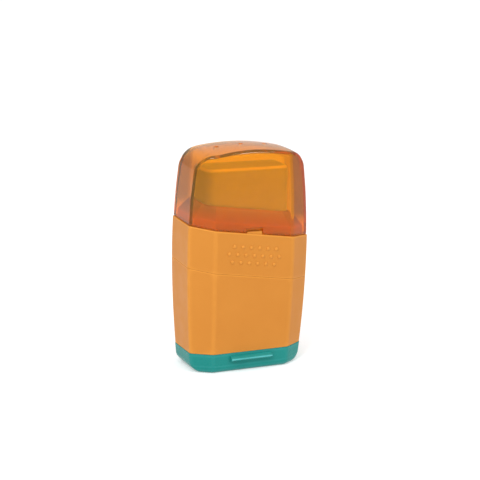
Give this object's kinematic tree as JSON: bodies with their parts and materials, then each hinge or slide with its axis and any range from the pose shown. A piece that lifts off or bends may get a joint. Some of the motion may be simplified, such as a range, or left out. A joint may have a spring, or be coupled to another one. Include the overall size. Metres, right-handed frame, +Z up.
{
  "type": "pencil sharpener",
  "caption": "Pocket pencil sharpener with a shavings container, a hinged base lid and an eraser under a clear domed cap.",
  "frame": {"origin": "middle of the flat underside of the base lid, on the surface the object stands on", "axes": "+Z up along the body, +X to the right of the front face, -Y out of the front face with the finger tab"},
  "size_m": [0.039, 0.0229, 0.0677],
  "materials": {
    "amber_clear": "clear moulded amber plastic, polished",
    "white_rubber": "matt, faintly dusty",
    "orange_plastic": "fine satin moulded",
    "insert_plastic": "satin moulded",
    "teal_plastic": "satin moulded",
    "blade_steel": "ground",
    "screw_steel": "zinc plated",
    "pin_steel": "drawn wire"
  },
  "bodies": {
    "container": {"shavings_container": "orange_plastic", "sharpener_insert": "insert_plastic", "blade_standard": "blade_steel", "blade_jumbo": "blade_steel", "screw_standard": "screw_steel", "screw_jumbo": "screw_steel", "hinge_pin": "pin_steel"},
    "holder": {"eraser_holder": "orange_plastic", "eraser": "white_rubber"},
    "cap": {"eraser_cap": "amber_clear"},
    "lid": {"base_lid": "teal_plastic"}
  },
  "joints": [
    {"name": "cap_pull", "type": "slide", "parent": "holder", "child": "cap", "axis": [0, 0, 1], "range_m": [0, 0.03]},
    {"name": "holder_pull", "type": "slide", "parent": "container", "child": "holder", "axis": [0, 0, 1], "range_m": [0, 0.02]},
    {"name": "lid_hinge", "type": "hinge", "parent": "container", "child": "lid", "pos_m": [0, 0.0102, 0.0061], "axis": [1, 0, 0], "range_deg": [0, 110]}
  ]
}
